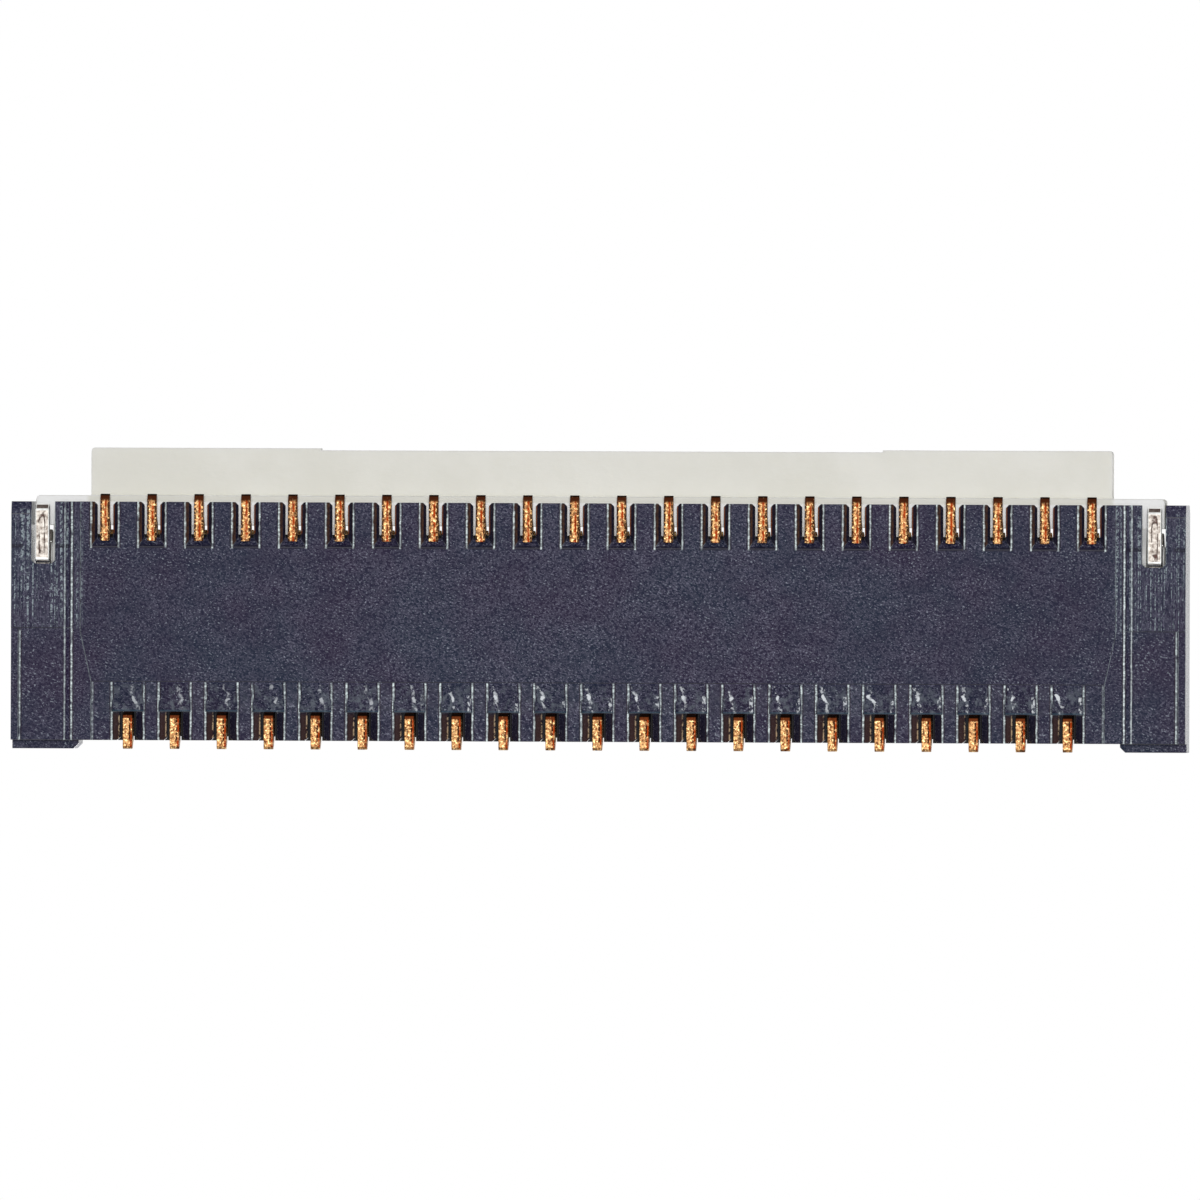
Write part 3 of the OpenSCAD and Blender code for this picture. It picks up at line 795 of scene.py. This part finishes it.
@dataclass(frozen=True)
class BlackEdge(Finish):
    """Rounded edges of the housing.

    The low edges of the underside get painted shade, and those that run along Y painted highlights
    in dashes. A strip of the rails between two places, in millimetres, is fainter on the +X side.
    """

    effects: Effects
    dark: Colour = (0.022, 0.021, 0.034)
    plain: Colour = (0.055, 0.058, 0.075)
    bright: Colour = (0.30, 0.35, 0.38)
    line_highlight: Colour = (0.88, 1.0, 1.0)
    dashes: Patches = Patches((6.0, 9.0, 6.0), 3.0, 0.65, 0.3, 0.66)
    faint_from: float = 6.42
    faint_to: float = 6.66

    def draw(self, sheet: Sheet) -> None:
        """Draws edges with painted shade, and painted highlights in dashes and along lines.

        Args:
            sheet: the material's tree.
        """
        at = sheet.millimetres()
        normal_x, normal_y, _ = sheet.facing()
        side = sheet.band(sheet.size(normal_x), 0.02, 0.12)
        level = sheet.fade(sheet.size(normal_y), 0.25, 0.45)
        low = sheet.fade(at.z, 0.05, 0.08)
        strip = self.effects.strip(sheet, sheet.size(at.x), self.faint_from, self.faint_to, 0.01)
        weak = sheet.mix(sheet.band(at.x, -1.0, 1.0), 0.0, 0.25)
        strong = sheet.less(1.0, sheet.times(strip, weak))
        # Painted highlights in dashes on the low edges that run along Y.
        bright = sheet.times(side, level, low, strong, self.dashes.mask(sheet, at))
        # Painted shade: the low edges darker than the higher ones.
        colour = sheet.blend(sheet.band(at.z, 0.09, 0.11), self.dark, self.plain)
        colour = sheet.blend(bright, colour, self.bright)
        # Painted highlights along the slots' mouths, the rails and the rebates.
        highlight_lines = sheet.group(self.effects.comb_lines, Place=at.vector)["Mask"]
        colour = sheet.blend(highlight_lines, colour, self.line_highlight)
        sheet.surface(colour, 0.35, Specular_IOR_Level=0.4)


@dataclass(frozen=True)
class MouldedIvory(Finish):
    """Slightly translucent ivory polymer of the lock.

    Its places, in millimetres, are where the ears start, where the yellower band along the
    housing ends, and where the painted light on the underside ends.
    """

    effects: Effects
    dark: Colour = (0.70, 0.69, 0.625)
    light: Colour = (0.75, 0.74, 0.685)
    lit_ear: Colour = (0.96, 0.965, 0.95)
    band: Colour = (0.72, 0.71, 0.62)
    lit_under: Colour = (0.97, 0.97, 0.95)
    ear_from: float = 6.53
    band_to: float = 1.64
    under_to: float = 1.5
    rough: float = 0.42

    def draw(self, sheet: Sheet) -> None:
        """Draws broad soft clouds, a fine grain, and a paler underside at ends and cams, as painted
        light.

        Args:
            sheet: the material's tree.
        """
        at = sheet.millimetres()
        fibres = self.effects.fibres
        grain = sheet.group(fibres, Place=at.vector, Angle=0.2, Along=9.0, Across=18.0)
        end = sheet.band(sheet.size(at.x), self.ear_from - 0.02, self.ear_from + 0.06)
        inner = sheet.fade(at.y, self.band_to - 0.06, self.band_to + 0.03)
        roofed = sheet.fade(at.y, self.under_to, self.under_to + 0.04)
        below = sheet.band(sheet.times(sheet.facing()[2], -1.0), 0.2, 0.5)
        colour = self.effects.tone(sheet, at, 0.8, self.dark, self.light)
        colour = sheet.blend(sheet.times(inner, 0.6), colour, self.band)
        # Painted light: what looks down under the roof and at the ears is made paler.
        colour = sheet.blend(sheet.times(roofed, below), colour, self.lit_under)
        colour = sheet.blend(sheet.times(end, below), colour, self.lit_ear)
        normal = sheet.relief(grain["Height"], 0.0016)
        sheet.surface(colour, self.rough, Normal=normal, **TRANSLUCENT)


@dataclass(frozen=True)
class IvoryEdge(Finish):
    """Rounded edges of the lock, a little paler in dashes."""

    effects: Effects
    dark: Colour = (0.80, 0.79, 0.73)
    light: Colour = (0.92, 0.92, 0.89)

    def draw(self, sheet: Sheet) -> None:
        """Draws pale clouds."""
        colour = self.effects.tone(sheet, sheet.millimetres(), 6.0, self.dark, self.light)
        sheet.surface(colour, 0.35, **TRANSLUCENT)


@dataclass(frozen=True)
class GoldPlate(Finish):
    """Thin gold over copper alloy, rough on the blanked soles of the tails.

    Marks of the sole are given by their offset along X from the tail's middle.
    """

    effects: Effects
    comb: Comb
    row: Row
    ember_at: float
    burrs_at: tuple[float, ...]
    dark: Colour = (0.080, 0.014, 0.002)
    light: Colour = (0.500, 0.285, 0.120)
    glow: Colour = (0.880, 0.640, 0.310)
    ember: Colour = (0.170, 0.022, 0.003)
    burr: Colour = (0.018, 0.006, 0.003)
    tip: Colour = (0.060, 0.014, 0.004)
    end: Colour = (0.004, 0.002, 0.001)
    flecks: Patches = Patches((38.0, 30.0, 9.0), 2.0, 0.7, 0.54, 0.66)
    clouds: Patches = Patches((9.0, 12.0, 9.0), 2.0, 0.6, 0.32, 0.55)
    dots: Patches = Patches((12.0, 34.0, 9.0), 2.0, 0.6, 0.38, 0.48)
    rough: float = 0.5

    def draw(self, sheet: Sheet) -> None:
        """Draws mottled tones with scratches, the soles' stripes and the darker tips.

        Args:
            sheet: the material's tree.
        """
        at = sheet.millimetres()
        scrape = sheet.noise(at.vector, (34.0, 12.0, 9.0), 3.0, 0.7)
        colour = self.effects.tone(sheet, at, 27.0, self.dark, self.light)
        colour = sheet.blend(self.flecks.mask(sheet, at), colour, self.glow)
        colour = self._stripes(sheet, at, colour)
        colour = sheet.blend(sheet.times(sheet.band(scrape, 0.53, 0.61), 0.75), colour, self.burr)
        colour = self._tips(sheet, at.y, scrape, colour)
        height = sheet.noise(at.vector, (24.0, 14.0, 14.0), 3.0, 0.6)
        normal = sheet.relief(height, 0.008, 0.8)
        sheet.surface(colour, self.rough, Normal=normal, Metallic=1.0)

    def _stripes(self, sheet: Sheet, at: Spot, colour: Socket) -> Socket:
        """Marks of blanking along the sole: a patchy red stripe and dotted dark ones.

        Args:
            sheet: the material's tree.
            at: the place.
            colour: the colour so far.

        Returns:
            The new colour.
        """
        wander = sheet.sway(sheet.noise(at.vector, (0.0, 22.0, 15.0), 3.0, 0.7), 0.03)
        local = sheet.plus(self.comb.off_middle(sheet, at.x, self.row), wander)
        sole = sheet.fade(at.z, 0.002, 0.02)
        behind = sheet.band(at.y, self.comb.front - 0.02, self.comb.front + 0.01)
        dots = self.dots.mask(sheet, at)
        red = sheet.near(local, self.ember_at, 0.010, 0.020)
        red = sheet.times(red, self.clouds.mask(sheet, at), sole)
        colour = sheet.blend(red, colour, self.ember)
        for middle in self.burrs_at:
            mark = sheet.near(local, middle, 0.006, 0.015)
            colour = sheet.blend(sheet.times(mark, dots, sole, behind), colour, self.burr)
        return colour

    def _tips(self, sheet: Sheet, y: Socket, scrape: Socket, colour: Socket) -> Socket:
        """Darker bevelled ends of the soles: the rear tails' outer ones, the front tails' inner.

        Args:
            sheet: the material's tree.
            y: the place along Y.
            scrape: noise by which the tips are worn.
            colour: the colour so far.

        Returns:
            The new colour.
        """
        front, rear = self.comb.front, self.comb.rear
        # Painted shade on the bevelled tips, where the soles bend up at their ends.
        inner = self.effects.strip(sheet, y, front + 0.29, front + 0.4, 0.02)
        tips = sheet.most(sheet.band(y, rear - 0.015, rear + 0.045), inner)
        colour = sheet.blend(sheet.times(tips, sheet.band(scrape, 0.12, 0.42)), colour, self.tip)
        # Painted shade: the soles' very ends are made near black.
        last = self.effects.strip(sheet, y, front + 0.325, front + 0.4, 0.01)
        last = sheet.most(last, sheet.band(y, rear + 0.07, rear + 0.085))
        return sheet.blend(sheet.times(last, 0.9), colour, self.end)


@dataclass(frozen=True)
class DullTin(Finish):
    """Tin plate of the hold-downs, with the ridge that molten tin leaves along the sole.

    The seam round the ridge has its middle and its half sizes in millimetres.
    """

    effects: Effects
    dark: Colour = (0.13, 0.105, 0.09)
    light: Colour = (0.43, 0.40, 0.365)
    seam: Colour = (0.05, 0.028, 0.024)
    gaps: Patches = Patches(9.0, 2.0, 0.6, 0.38, 0.56)
    seam_at: tuple[float, float] = (7.105, 1.1)
    seam_half: tuple[float, float] = (0.036, 0.245)
    rough: float = 0.5

    def draw(self, sheet: Sheet) -> None:
        """Draws grainy tin with a wavy dark seam off the middle of the sole, and a dark toe.

        Args:
            sheet: the material's tree.
        """
        at = sheet.millimetres()
        sole = sheet.fade(at.z, 0.004, 0.03)
        seam = sheet.times(self._seam(sheet, at), sole, self.gaps.mask(sheet, at))
        toe = sheet.times(sheet.band(at.y, 1.40, 1.45), 0.8)
        colour = self.effects.tone(sheet, at, 20.0, self.dark, self.light)
        colour = sheet.blend(seam, colour, self.seam)
        colour = sheet.blend(toe, colour, self.seam)
        height = sheet.less(sheet.noise(at.vector, 18.0, 3.0, 0.6), seam)
        normal = sheet.relief(height, 0.008, 0.7)
        sheet.surface(colour, self.rough, Normal=normal, Metallic=1.0)

    def _seam(self, sheet: Sheet, at: Spot) -> Socket:
        """Mask of the seam.

        It is a ring x^4 + y^4 = 1, with x and y counted in half sizes from its middle, whose
        radius noise makes wavy.

        Args:
            sheet: the material's tree.
            at: the place.

        Returns:
            The mask's socket.
        """
        parts = zip((sheet.size(at.x), at.y), self.seam_at, self.seam_half)
        wide, long = (
            sheet.power(sheet.size(sheet.over(sheet.less(value, middle), half)), 4.0)
            for value, middle, half in parts
        )
        wave = sheet.sway(sheet.noise(at.vector, (9.0, 6.0, 1.0), 3.0, 0.6), 0.9)
        ring = sheet.plus(sheet.power(sheet.plus(wide, long), 0.25), wave)
        return self.effects.strip(sheet, ring, 0.92, 1.06, 0.12)


@dataclass(frozen=True)
class TinRim(Finish):
    """Rounded rims of the hold-downs: a painted highlight on what looks down, dull elsewhere."""

    effects: Effects
    dark: Colour = (0.62, 0.62, 0.60)
    light: Colour = (0.93, 0.93, 0.91)
    dull: Colour = (0.34, 0.335, 0.32)

    def draw(self, sheet: Sheet) -> None:
        """Draws painted highlights in clouds on what looks down, and plain dull tin on the rest.

        Args:
            sheet: the material's tree.
        """
        bright = self.effects.tone(sheet, sheet.millimetres(), 9.0, self.dark, self.light)
        # Painted highlight: rims that look down are bright, the others dull.
        turned = sheet.band(sheet.facing()[2], -0.35, -0.15)
        sheet.surface(sheet.blend(turned, bright, self.dull), 0.25, Metallic=1.0)


@dataclass(frozen=True)
class FloorPaper(Finish):
    """Pale paper that is clear from behind."""

    pale: Colour = (0.86, 0.86, 0.86)

    def draw(self, sheet: Sheet) -> None:
        """Draws matt paper on the front and nothing on the back.

        Args:
            sheet: the material's tree.
        """
        paper = sheet.fill(sheet.node("BsdfDiffuse"), Color=self.pale)
        back = sheet.node("NewGeometry").outputs["Backfacing"]
        sheet.end("OutputMaterial", sheet.choose(back, paper, sheet.node("BsdfTransparent")))


@dataclass(frozen=True)
class RoundedEdges:
    """Rounding of a CAD node's edges by live modifiers.

    The loose triangles are welded, flat faces are joined, and every edge that bends by more than
    the limit gets a narrow round. Its faces take the node's last material.
    """

    width_mm: float
    segments: int = 2
    limit_deg: float = 28.0
    weld_distance: float = 1e-8
    flat_deg: float = 0.5

    def apply(self, node: bpy.types.Object) -> None:
        """Adds the modifiers.

        Args:
            node: the CAD node's object.
        """
        weld = node.modifiers.new("weld", "WELD")
        weld.merge_threshold = self.weld_distance
        flat = node.modifiers.new("flat_faces", "DECIMATE")
        flat.decimate_type = "DISSOLVE"
        flat.angle_limit = math.radians(self.flat_deg)
        edge = node.modifiers.new("rounded_edges", "BEVEL")
        edge.width = self.width_mm * MM
        edge.segments = self.segments
        edge.limit_method = "ANGLE"
        edge.angle_limit = math.radians(self.limit_deg)
        edge.material = len(node.data.materials) - 1
        edge.harden_normals = False
        edge.use_clamp_overlap = True


def dress(name: str, edge: RoundedEdges, *materials: bpy.types.Material) -> None:
    """Gives a CAD node its materials and rounds its edges.

    Args:
        name: the node's name.
        edge: the rounding.
        materials: the faces' material first, the rounded edges' last.
    """
    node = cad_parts[name]
    node.data.materials.clear()
    for material in materials:
        node.data.materials.append(material)
    edge.apply(node)
    LOG.info("%s dressed", name)


@dataclass
class Housing:
    """The moulded housing."""

    effects: Effects
    comb: Comb
    edge: RoundedEdges = field(default_factory=lambda: RoundedEdges(0.009, limit_deg=15.0))

    def build(self) -> None:
        """Dresses the housing and rounds its edges."""
        face = MouldedBlack(self.effects, self.comb).build("housing_face")
        dress("housing", self.edge, face, BlackEdge(self.effects).build("housing_edge"))


@dataclass
class FlipLock:
    """The lock that turns down behind the roof."""

    effects: Effects
    edge: RoundedEdges = field(default_factory=lambda: RoundedEdges(0.008))

    def build(self) -> None:
        """Dresses the lock and rounds its edges."""
        face = MouldedIvory(self.effects).build("lock_face")
        dress("lock_actuator", self.edge, face, IvoryEdge(self.effects).build("lock_edge"))


@dataclass
class ContactRow:
    """One row of contacts, alike but for their place.

    The red stripe and the burrs of its soles lie at offsets in millimetres.
    """

    effects: Effects
    comb: Comb
    row: Row
    ember_at: float
    burrs_at: tuple[float, ...]
    edge: RoundedEdges = field(default_factory=lambda: RoundedEdges(0.006))

    def build(self) -> None:
        """Dresses every contact of the row."""
        gold = GoldPlate(self.effects, self.comb, self.row, self.ember_at, self.burrs_at)
        material = gold.build(self.row.value + "gold")
        for name in sorted(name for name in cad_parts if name.startswith(self.row.value)):
            dress(name, self.edge, material)


@dataclass
class HoldDowns:
    """The two soldered hold-downs at the ends."""

    effects: Effects
    edge: RoundedEdges = field(default_factory=lambda: RoundedEdges(0.02, 3))

    def build(self) -> None:
        """Dresses both hold-downs."""
        face = DullTin(self.effects).build("hold_down_face")
        rim = TinRim(self.effects).build("hold_down_rim")
        for name in ("hold_down_left", "hold_down_right"):
            dress(name, self.edge, face, rim)


def place(name: str, data: bpy.types.ID) -> bpy.types.Object:
    """Makes an object and puts it into the scene.

    Args:
        name: the object's name.
        data: its mesh, lamp or camera.

    Returns:
        The object.
    """
    made = bpy.data.objects.new(name, data)
    bpy.context.scene.collection.objects.link(made)
    return made


@dataclass(frozen=True)
class Lamp:
    """A broad distant lamp, which shines from its azimuth, counted from +X, and elevation."""

    name: str
    azimuth_deg: float
    elevation_deg: float
    strength: float
    spread_deg: float
    distance: float = 0.1

    def build(self) -> None:
        """Makes the lamp and turns it towards the object."""
        data = bpy.data.lights.new(self.name, "SUN")
        data.energy = self.strength
        data.angle = math.radians(self.spread_deg)
        lamp = place(self.name, data)
        a, e = math.radians(self.azimuth_deg), math.radians(self.elevation_deg)
        outward = Vector((math.cos(a) * math.cos(e), math.sin(a) * math.cos(e), math.sin(e)))
        lamp.rotation_euler = outward.to_track_quat("Z", "Y").to_euler()
        lamp.location = outward * self.distance


@dataclass
class Studio:
    """Floor, light and camera round the connector, which is seen from its solder side."""

    lens_mm: float = 1500.0
    sensor_mm: float = 36.0
    frame_width_mm: float = 15.283
    aim_mm: tuple[float, float, float] = (-0.031, 0.289, 0.0)
    tilt_deg: float = 4.0
    roll_deg: float = 0.22
    floor_half: float = 2.0
    floor_gap: float = 2e-6
    soft_light: float = 0.28
    lamps: tuple[Lamp, ...] = (
        Lamp("key_below", 150.0, -85.0, 1.72, 6.0),
        Lamp("key_above", 235.0, 55.0, 1.9, 15.0),
        Lamp("fill_above", 30.0, 50.0, 0.6, 40.0),
    )

    def build(self) -> None:
        """Makes the floor, the world, the lamps and the camera."""
        self._floor()
        self._world()
        for lamp in self.lamps:
            lamp.build()
        self._camera()
        view = bpy.context.scene.view_settings
        view.view_transform = "Standard"
        LOG.info("studio built")

    def _floor(self) -> None:
        """Makes a floor that is seen from above only, so that the solder side stays in view."""
        half, z = self.floor_half, -self.floor_gap
        corners = [(-half, -half, z), (half, -half, z), (half, half, z), (-half, half, z)]
        mesh = bpy.data.meshes.new("floor")
        mesh.from_pydata(corners, [], [(0, 1, 2, 3)])
        mesh.materials.append(FloorPaper().build("floor_paper"))
        floor = place("floor", mesh)
        floor.visible_shadow = floor.visible_diffuse = floor.visible_glossy = False

    def _world(self) -> None:
        """Makes a world that is white to the camera, gloss and glass, and softer as light."""
        world = bpy.data.worlds.new("studio")
        bpy.context.scene.world = world
        world.use_nodes = True
        sheet = Sheet(world.node_tree)
        rays = sheet.node("LightPath").outputs
        seen = sheet.most(rays["Is Camera Ray"], rays["Is Glossy Ray"])
        seen = sheet.most(seen, rays["Is Transmission Ray"])
        soft, white = (
            sheet.fill(sheet.node("Background"), Color=WHITE, Strength=strength)
            for strength in (self.soft_light, 1.0)
        )
        sheet.end("OutputWorld", sheet.choose(seen, soft, white))

    def _camera(self) -> None:
        """Makes a long lens below the board plane, tilted to the -X end and rolled a little."""
        data = bpy.data.cameras.new("camera")
        data.lens = self.lens_mm
        data.sensor_width = self.sensor_mm
        distance = self.frame_width_mm * MM * self.lens_mm / self.sensor_mm
        data.clip_start, data.clip_end = distance * 0.01, distance * 100.0
        tilt, roll = math.radians(self.tilt_deg), math.radians(self.roll_deg)
        ahead = Vector((math.sin(tilt), 0.0, math.cos(tilt)))
        up = Vector((math.sin(roll), math.cos(roll), 0.0))
        up = (up - up.dot(ahead) * ahead).normalized()
        right = ahead.cross(up)
        turn = Matrix((right, up, -ahead)).transposed().to_4x4()
        camera = place("camera", data)
        aim = Vector(self.aim_mm) * MM
        camera.matrix_world = Matrix.Translation(aim - ahead * distance) @ turn
        bpy.context.scene.camera = camera


def main() -> None:
    """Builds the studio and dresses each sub-assembly."""
    logging.basicConfig(level=logging.INFO)
    Studio().build()
    comb = Comb.from_frame()
    effects = Effects(comb)
    Housing(effects, comb).build()
    FlipLock(effects).build()
    ContactRow(effects, comb, Row.REAR, -0.012, (0.046, -0.046)).build()
    ContactRow(effects, comb, Row.FRONT, -0.046, (-0.026,)).build()
    HoldDowns(effects).build()


if __name__ == "__main__":
    main()
